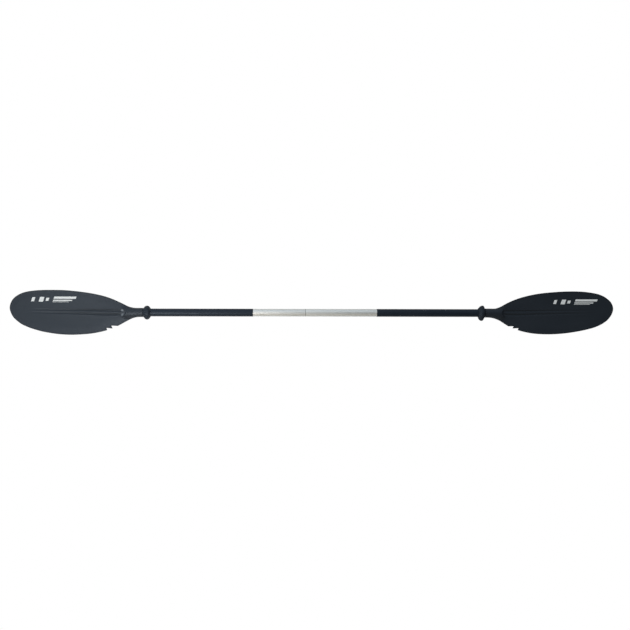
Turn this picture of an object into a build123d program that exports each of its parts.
from build123d import *
import os
from math import cos, radians, sin

# Two-piece double-bladed kayak paddle, lying flat with its power faces up.
# +X runs along the shaft, +Y towards the blades' long edges, +Z out of the power faces.
# The origin is on the shaft axis, at the end face of the left tube (the seam).
# A station is a distance outward from the paddle's middle. Names ending in _in and _out
# are the stations of a feature's inner and outer ends. All sizes are in mm.

os.makedirs("parts", exist_ok=True)

# ---------------------------------------------------------------- shared dimensions
overall_length = 2300.0
half_length = overall_length / 2
mid_x = 37.0  # the paddle's middle, right of the seam
middle_plane = Plane.YZ.offset(mid_x)

tube_r = 14.3
tube_bore_r = 13.0
covered_r = 14.12  # turned down a little under the sleeve and in the socket
seam_gap = 1.05  # room for the seam washer

grip_in = 235.6
grip_out = 650.6
neck_in = 651.0
neck_r = 17.2
socket_end = 713.0
tube_end = socket_end - 0.5

rivet_stations = (664.0, 684.0)
rivet_hole_r = 2.05
right_rivet_xs = [mid_x + s for s in rivet_stations]
left_rivet_xs = [mid_x - s for s in rivet_stations]

button_x = 38.0
button_hole_r = 3.5

pin_xs = (-60.0, -25.0)
pin_hole_r = 1.55

hole_reach = 30.0  # cross holes run from the shaft axis out past every wall
overrun = 5.0  # bores start this far outside the material


# ---------------------------------------------------------------- helpers
def at_stations(points):
    """Turn (station, y or z) points of the right half into (x, y or z)."""
    return [(mid_x + s, v) for s, v in points]


def save(part, name):
    part.label = name
    export_step(part, f"parts/{name}.step")


def save_pair(right_part, name):
    """Save a right-hand piece and its mirror image on the left half."""
    save(right_part, f"right_{name}")
    with BuildPart() as left:
        mirror(right_part, about=middle_plane)
    save(left.part, f"left_{name}")


# ---------------------------------------------------------------- blades
plate_half_t = 2.4
plate_in, plate_out = 676.0, 1156.0  # the cambered slab overruns the outline at both ends
spoon_start = 700.0
spoon_depth = 28.0

neck_chamfer = 1.0
spine_taper = [(735, neck_r), (800, 12.5), (870, 6.0), (930, 1.5)]  # station, radius

shoulder_in, shoulder_out = 688, 748
shoulder_start_r = neck_r - 0.05
shoulder_w = 34.0  # half width at the outer end
shoulder_t = 2.35  # half thickness at the outer end

face_in = 725.5
rib_h = 3.6
rib_out = 1060
rib_run = 325  # the rib loses its height over this length

flute_w = 15.2
flute_y = 9.7
flute_in = 718.5
flute_out = 1040.0
flute_depth = 1.4
floor_overrun = 20

socket_r = 14.17

# reach of the shapes that cut or bound the blade
plan_reach = 70
camber_reach = 120
cut_reach = 60
cut_height = 60

# blade outline as (station, y): tip end of the long edge round to the short edge
edge_line = [
    (684, 17.1), (692, 18.2), (700, 20.3), (710, 23.6), (720, 28.2), (730, 33.3),
    (740, 38.4), (760, 47.8), (780, 55.6), (800, 61.9), (820, 66.8), (850, 72.7),
    (880, 77.0), (910, 80.0), (940, 82.3), (970, 83.5), (1000, 83.7), (1030, 82.9),
    (1050, 81.3), (1070, 78.8), (1085, 76.0), (1100, 71.8), (1110, 67.5), (1120, 61.8),
    (1130, 54.4), (1138, 45.6), (1144, 35.6), (1148.3, 26.0), (half_length, 17.0),
    (1148.0, 7.6), (1144, -1.0), (1138, -11.6), (1130, -22.5), (1120, -31.6),
    (1110, -38.7), (1100, -44.8), (1085, -51.6), (1070, -57.4), (1050, -63.4),
    (1030, -68.2), (1000, -73.6), (970, -77.8), (940, -80.6), (910, -81.8), (880, -81.2),
    (850, -79.1), (820, -74.8), (800, -70.3), (788, -66.9), (781.3, -64.6),
]
# the toothed edge from there back to the neck
teeth = [
    edge_line[-1], (786.2, -57.3), (763.6, -57.4), (768.0, -49.5), (745.5, -49.0),
    (684, -17.0),
]


def spoon(s):
    """Height of the blade's middle surface at station s."""
    if s < spoon_start:
        return 0.0
    return spoon_depth * ((s - spoon_start) / (half_length - spoon_start)) ** 2


def plate_back(s):
    return spoon(s) - plate_half_t


def plate_face(s):
    return spoon(s) + plate_half_t


def rib_top(s):
    return plate_face(s) + rib_h * max(0.0, (rib_out - s) / rib_run)


def flute_floor(s):
    return plate_face(s) - flute_depth


def cut_top(s):
    return spoon(s) + cut_height


def band(low, high, start, stop, steps):
    """Lower points, then upper points reversed, of a band between two curves on XZ."""
    stations = [start + (stop - start) * i / steps for i in range(steps + 1)]
    return (
        at_stations([(s, low(s)) for s in stations]),
        at_stations([(s, high(s)) for s in reversed(stations)]),
    )


def make_flute_tool():
    """Two long slots with round ends, whose floor follows the spoon of the blade."""
    floor, top = band(
        flute_floor, cut_top, flute_in - floor_overrun, flute_out + floor_overrun, 12
    )
    with BuildPart() as tool:
        with BuildSketch(Plane.XY):
            for y in (-flute_y, flute_y):
                with Locations((mid_x + (flute_in + flute_out) / 2, y)):
                    SlotOverall(flute_out - flute_in, flute_w)
        extrude(amount=plan_reach)
        with BuildSketch(Plane.XZ):
            with BuildLine():
                Polyline(*floor, *top, close=True)
            make_face()
        extrude(amount=cut_reach, both=True, mode=Mode.INTERSECT)
    return tool.part


def make_right_blade():
    edge_points = at_stations(edge_line)
    teeth_points = at_stations(teeth)
    slab_low, slab_high = band(plate_back, plate_face, plate_in, plate_out, 16)
    trim_low, trim_high = band(rib_top, cut_top, face_in, plate_out, 12)
    flute_tool = make_flute_tool()

    with BuildPart() as blade:
        # thin spooned plate inside the blade's outline
        with BuildSketch(Plane.XY):
            with BuildLine():
                Spline(*edge_points)
                Polyline(*teeth_points)
                Line(teeth_points[-1], edge_points[0])
            make_face()
        extrude(amount=plan_reach, both=True)
        with BuildSketch(Plane.XZ):
            with BuildLine():
                Spline(*slab_low)
                Line(slab_low[-1], slab_high[0])
                Spline(*slab_high)
                Line(slab_high[-1], slab_low[0])
            make_face()
        extrude(amount=camber_reach, both=True, mode=Mode.INTERSECT)

        # round neck that runs on as a tapering spine
        neck_profile = [
            (neck_in, 0),
            (neck_in, neck_r - neck_chamfer),
            (neck_in + neck_chamfer, neck_r),
            spine_taper[0],
        ]
        spine_end = spine_taper[-1][0]
        with BuildSketch(Plane.XZ):
            with BuildLine():
                Polyline(*at_stations(neck_profile))
                Spline(*at_stations(spine_taper), tangents=[(1, 0), (1, -0.05)])
                Polyline(*at_stations([spine_taper[-1], (spine_end, 0), (neck_in, 0)]))
            make_face()
        revolve(axis=Axis.X)

        # shoulders that spread the neck into the plate
        with BuildSketch(Plane.YZ.offset(mid_x + shoulder_in)):
            Circle(shoulder_start_r)
        with BuildSketch(Plane.YZ.offset(mid_x + shoulder_out)):
            Ellipse(shoulder_w, shoulder_t)
        loft()

        # the power face is cut back to the plate, leaving a low centre rib
        with BuildSketch(Plane.XZ):
            with BuildLine():
                Polyline(*trim_low, *trim_high, close=True)
            make_face()
        extrude(amount=cut_reach, both=True, mode=Mode.SUBTRACT)
        add(flute_tool, mode=Mode.SUBTRACT)

        # tube socket
        with BuildSketch(Plane.YZ.offset(mid_x + neck_in - overrun)):
            Circle(socket_r)
        extrude(amount=socket_end - neck_in + overrun, mode=Mode.SUBTRACT)

        # rivet holes through the back of the socket
        with BuildSketch(Plane.XY):
            with Locations(*[(x, 0) for x in right_rivet_xs]):
                Circle(rivet_hole_r)
        extrude(amount=-hole_reach, mode=Mode.SUBTRACT)
    return blade.part


save_pair(make_right_blade(), "blade")


# ---------------------------------------------------------------- shaft tubes
feather_angle = 60.0
tube_bore_reach = 1000


def make_right_shaft_tube():
    with BuildPart() as tube:
        with BuildSketch(Plane.YZ.offset(seam_gap)):
            Circle(tube_r)
        extrude(amount=mid_x + grip_in - seam_gap)
        with BuildSketch(Plane.YZ.offset(mid_x + grip_in)):
            Circle(covered_r)
        extrude(amount=tube_end - grip_in)
        with BuildSketch(Plane.YZ):
            Circle(tube_bore_r)
        extrude(amount=tube_bore_reach, mode=Mode.SUBTRACT)
        # one button hole for each feather setting
        for angle in (-feather_angle, 0.0, feather_angle):
            a = radians(angle)
            outward = (0, sin(a), -cos(a))
            with BuildSketch(Plane(origin=(button_x, 0, 0), x_dir=(1, 0, 0), z_dir=outward)):
                Circle(button_hole_r)
            extrude(amount=hole_reach, mode=Mode.SUBTRACT)
        with BuildSketch(Plane.XY):
            with Locations(*[(x, 0) for x in right_rivet_xs]):
                Circle(rivet_hole_r)
        extrude(amount=-hole_reach, mode=Mode.SUBTRACT)
    return tube.part


def make_left_shaft_tube():
    with BuildPart() as tube:
        with BuildSketch(Plane.YZ):
            Circle(tube_r)
        extrude(amount=-(grip_in - mid_x))
        with BuildSketch(Plane.YZ.offset(-(grip_in - mid_x))):
            Circle(covered_r)
        extrude(amount=-(tube_end - grip_in))
        with BuildSketch(Plane.YZ.offset(overrun)):
            Circle(tube_bore_r)
        extrude(amount=-tube_bore_reach, mode=Mode.SUBTRACT)
        with BuildSketch(Plane.XY):
            with Locations(*[(x, 0) for x in left_rivet_xs]):
                Circle(rivet_hole_r)
            with Locations(*[(x, 0) for x in pin_xs]):
                Circle(pin_hole_r)
        extrude(amount=-hole_reach, mode=Mode.SUBTRACT)
    return tube.part


save(make_right_shaft_tube(), "right_shaft_tube")
save(make_left_shaft_tube(), "left_shaft_tube")


# ---------------------------------------------------------------- grip sleeves
sleeve_bore_r = 14.14
sleeve_r = 14.75
sleeve_in = grip_in + 0.02


def make_right_grip_sleeve():
    with BuildPart() as sleeve:
        with BuildSketch(Plane.YZ.offset(mid_x + sleeve_in)):
            Circle(sleeve_r)
            Circle(sleeve_bore_r, mode=Mode.SUBTRACT)
        extrude(amount=grip_out - sleeve_in)
    return sleeve.part


save_pair(make_right_grip_sleeve(), "grip_sleeve")


# ---------------------------------------------------------------- drip rings
ring_out = grip_out
ring_in = ring_out - 27.0
ring_bore_r = 14.80
ring_hub_r = 17.2
ring_crest_r = 27.2
ring_chamfer = 0.9

# a full soft bead, a little steeper towards the blade: station, radius
ring_bead = [
    (ring_in + ring_chamfer, ring_hub_r), (628.6, 22.1), (633.2, 25.6),
    (638.6, ring_crest_r), (644.2, 25.5), (647.8, 21.5),
    (ring_out - ring_chamfer, ring_hub_r),
]


def make_right_drip_ring():
    """The bead, with a narrow hub edge at either end."""
    inner_edge = [
        (ring_out, ring_bore_r), (ring_in, ring_bore_r),
        (ring_in, ring_hub_r - ring_chamfer), ring_bead[0],
    ]
    outer_edge = [ring_bead[-1], (ring_out, ring_hub_r - ring_chamfer), (ring_out, ring_bore_r)]
    with BuildPart() as ring:
        with BuildSketch(Plane.XZ):
            with BuildLine():
                Polyline(*at_stations(inner_edge))
                Spline(*at_stations(ring_bead))
                Polyline(*at_stations(outer_edge))
            make_face()
        revolve(axis=Axis.X)
    return ring.part


save_pair(make_right_drip_ring(), "drip_ring")


# ---------------------------------------------------------------- blade rivets
rivet_shank_r = 2.0
rivet_head_r = 3.8
rivet_head_h = 1.2
rivet_bulb_r = 2.7

# dome head, shank and set bulb: radius, depth below the shaft axis
rivet_profile = [
    (0, neck_r + rivet_head_h),
    (1.6, neck_r + rivet_head_h),
    (rivet_head_r, neck_r + 0.35),
    (rivet_head_r, neck_r + 0.02),
    (rivet_shank_r, neck_r + 0.02),
    (rivet_shank_r, tube_bore_r - 0.4),
    (rivet_bulb_r, tube_bore_r - 0.7),
    (rivet_bulb_r, tube_bore_r - 2.0),
    (1.2, tube_bore_r - 3.0),
    (0, tube_bore_r - 3.0),
]


def make_right_blade_rivets():
    with BuildPart() as rivets:
        for x in right_rivet_xs:
            with BuildSketch(Plane(origin=(x, 0, 0), x_dir=(1, 0, 0), z_dir=(0, -1, 0))):
                with BuildLine():
                    Polyline(*[(r, -depth) for r, depth in rivet_profile], close=True)
                make_face()
            revolve(axis=Axis((x, 0, 0), (0, 0, 1)))
    return rivets.part


save_pair(make_right_blade_rivets(), "blade_rivets")


# ---------------------------------------------------------------- ferrule and its pins
ferrule_r = 12.95
ferrule_bore_r = 11.2
ferrule_left_x = -80.0
ferrule_right_x = 76.0
ferrule_length = ferrule_right_x - ferrule_left_x
ferrule_chamfer = 1.2

pin_r = 1.5
pin_length = 4.4
pin_sink = 0.25  # pin ends sit this far below the tube's surface


def make_ferrule_tube():
    with BuildPart() as ferrule:
        with BuildSketch(Plane.YZ.offset(ferrule_left_x)):
            Circle(ferrule_r)
        extrude(amount=ferrule_length)
        # lead-in on the end that slides into the right tube
        right_rim = ferrule.edges().filter_by(GeomType.CIRCLE).sort_by(Axis.X)[-1]
        chamfer(right_rim, ferrule_chamfer)
        with BuildSketch(Plane.YZ.offset(ferrule_left_x - overrun)):
            Circle(ferrule_bore_r)
        extrude(amount=ferrule_length + 2 * overrun, mode=Mode.SUBTRACT)
        with BuildSketch(Plane.XY):
            with Locations((button_x, 0)):
                Circle(button_hole_r)
            with Locations(*[(x, 0) for x in pin_xs]):
                Circle(pin_hole_r)
        extrude(amount=-hole_reach, mode=Mode.SUBTRACT)
    return ferrule.part


def make_ferrule_pins():
    with BuildPart() as pins:
        with BuildSketch(Plane.XY.offset(-(tube_r - pin_sink))):
            with Locations(*[(x, 0) for x in pin_xs]):
                Circle(pin_r)
        extrude(amount=pin_length)
    return pins.part


save(make_ferrule_tube(), "ferrule_tube")
save(make_ferrule_pins(), "ferrule_pins")


# ---------------------------------------------------------------- snap button on its bent leaf
button_r = 3.3
button_top = 17.3  # distance of the button's end from the shaft axis
button_fillet = 1.3
leaf_t = 0.8
leaf_half_w = 3.5
leaf_z = -9.6  # the flat of the leaf that carries the button

# leaf centreline as (x, z): upper arm, bend and lower arm
upper_arm = [(46.5, 9.3), (36.0, 9.9), (26.0, 9.0), (-6.0, 3.0)]
lower_arm = [(-6.0, -3.0), (26.0, -8.6), (32.0, leaf_z), (46.0, leaf_z)]
bend_middle = (-9.2, 0.0)


def make_snap_button_clip():
    with BuildPart() as clip:
        with BuildSketch(Plane.XZ):
            with BuildLine():
                Polyline(*upper_arm)
                ThreePointArc(upper_arm[-1], bend_middle, lower_arm[0])
                Polyline(*lower_arm)
            trace(line_width=leaf_t)
        extrude(amount=leaf_half_w, both=True)
        with BuildSketch(Plane.XY.offset(leaf_z)):
            with Locations((button_x, 0)):
                Circle(button_r)
        extrude(amount=-(button_top + leaf_z))
        button_rim = clip.edges().filter_by(GeomType.CIRCLE).sort_by(Axis.Z)[0]
        fillet(button_rim, button_fillet)
    return clip.part


save(make_snap_button_clip(), "snap_button_clip")


# ---------------------------------------------------------------- seam washer
washer_r = 13.95
washer_clearance = 0.03  # at either face


def make_joint_seal():
    with BuildPart() as seal:
        with BuildSketch(Plane.YZ.offset(washer_clearance)):
            Circle(washer_r)
            Circle(tube_bore_r, mode=Mode.SUBTRACT)
        extrude(amount=seam_gap - 2 * washer_clearance)
    return seal.part


save(make_joint_seal(), "joint_seal")


# ---------------------------------------------------------------- foam plugs
plug_r = tube_bore_r - 0.05
plug_chamfer = 0.8
outer_plug_out = tube_end - 1.0
outer_plug_in = outer_plug_out - 22.0

# name, left end x, right end x
plugs = [
    ("left_outer_plug", mid_x - outer_plug_out, mid_x - outer_plug_in),
    ("left_inner_plug", -118.0, -86.0),
    ("right_inner_plug", 92.0, 124.0),
    ("right_outer_plug", mid_x + outer_plug_in, mid_x + outer_plug_out),
]


def make_plug(left_x, right_x):
    with BuildPart() as plug:
        with BuildSketch(Plane.YZ.offset(left_x)):
            Circle(plug_r)
        extrude(amount=right_x - left_x)
        chamfer(plug.edges().filter_by(GeomType.CIRCLE), plug_chamfer)
    return plug.part


for plug_name, left_end, right_end in plugs:
    save(make_plug(left_end, right_end), plug_name)
